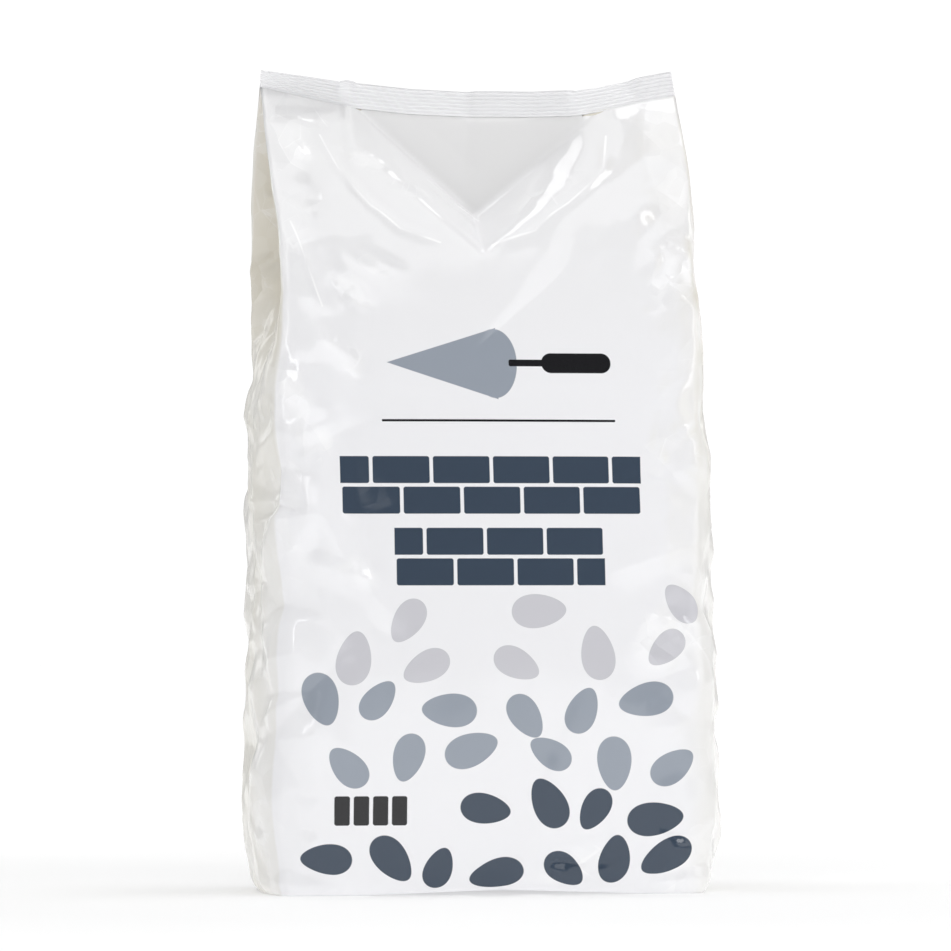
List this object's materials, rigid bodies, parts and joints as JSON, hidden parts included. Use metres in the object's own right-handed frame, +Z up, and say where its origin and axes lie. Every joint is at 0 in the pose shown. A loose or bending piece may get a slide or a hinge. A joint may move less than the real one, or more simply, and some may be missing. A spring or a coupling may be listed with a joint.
{
  "type": "filled cement bag",
  "caption": "Upright gusseted plastic-film bag of cement, filled and heat-sealed across the top, standing on its flat folded bottom.",
  "frame": {"origin": "on the floor, under the middle of the bag's box", "axes": "+Z up to the seal, +X along the printed front panel to the right as seen from the front, printed front facing -Y"},
  "size_m": [0.1986, 0.0922, 0.3477],
  "materials": {
    "film": "glossy white polyethylene film, lightly crumpled, printed in greys on the front"
  },
  "bodies": {
    "root": {"bag": "film"}
  },
  "joints": []
}
